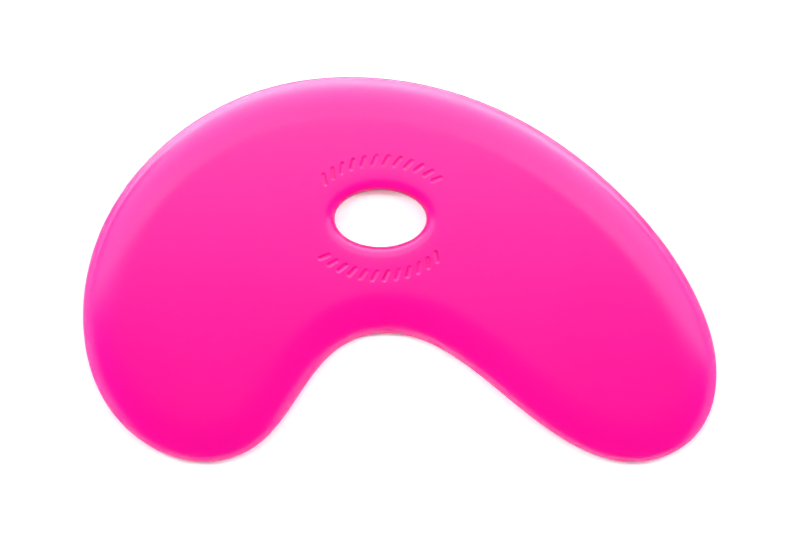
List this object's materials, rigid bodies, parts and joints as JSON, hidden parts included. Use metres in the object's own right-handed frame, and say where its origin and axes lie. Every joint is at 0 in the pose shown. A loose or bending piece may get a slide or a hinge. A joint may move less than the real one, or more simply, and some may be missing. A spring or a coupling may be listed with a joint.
{
  "type": "pottery rib",
  "caption": "Kidney-shaped flexible pottery rib with a flat back, a domed face thinning to a rounded rim, and an oval finger hole with a rounded lip.",
  "frame": {"origin": "middle of the bounding box, on the flat back", "axes": "+X along the length, towards the wide lobe; +Y across the width, towards the long outer curve; +Z out of the domed face"},
  "size_m": [0.1206, 0.0734, 0.0063],
  "materials": {
    "polymer": "satin moulded polymer with a fine matte grain"
  },
  "bodies": {
    "root": {"rib_body": "polymer"}
  },
  "joints": []
}
